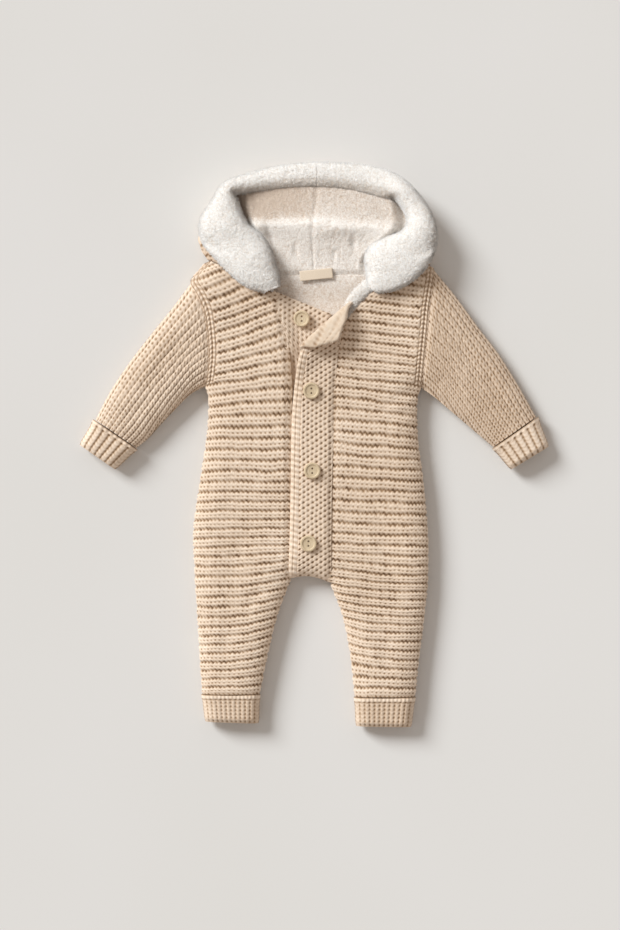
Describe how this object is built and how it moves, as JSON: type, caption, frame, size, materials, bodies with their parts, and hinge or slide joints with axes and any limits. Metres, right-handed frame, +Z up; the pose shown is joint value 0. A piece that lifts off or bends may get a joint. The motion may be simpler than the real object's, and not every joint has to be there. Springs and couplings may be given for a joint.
{
  "type": "hooded baby romper",
  "caption": "Chunky knitted baby romper with a fleece-lined hood and a buttoned front, laid flat on its back.",
  "frame": {"origin": "middle of the garment's box, on the surface that it lies on", "axes": "+X to the wearer's left, +Y from the feet to the hood, +Z up from the surface, out of the front"},
  "size_m": [0.512, 0.615, 0.0425],
  "materials": {
    "knit": "chunky mottled cream yarn, garter stitch and rib",
    "fleece": "short curly pile, off-white",
    "label_tape": "plain woven tape, bare",
    "button_wood": "satin, pale khaki"
  },
  "bodies": {
    "root": {"back_panel": "knit", "left_front": "knit", "right_front": "knit", "button_stand": "knit", "buttonhole_band": "knit", "left_sleeve": "knit", "right_sleeve": "knit", "left_sleeve_cuff": "knit", "right_sleeve_cuff": "knit", "left_leg_cuff": "knit", "right_leg_cuff": "knit", "hood_outer": "knit", "hood_lining_left": "fleece", "hood_lining_right": "fleece", "hood_brim_left": "fleece", "hood_brim_right": "fleece", "back_neck_lining": "fleece", "neck_label": "label_tape", "button_1": "button_wood", "button_2": "button_wood", "button_3": "button_wood", "button_4": "button_wood"}
  },
  "joints": []
}
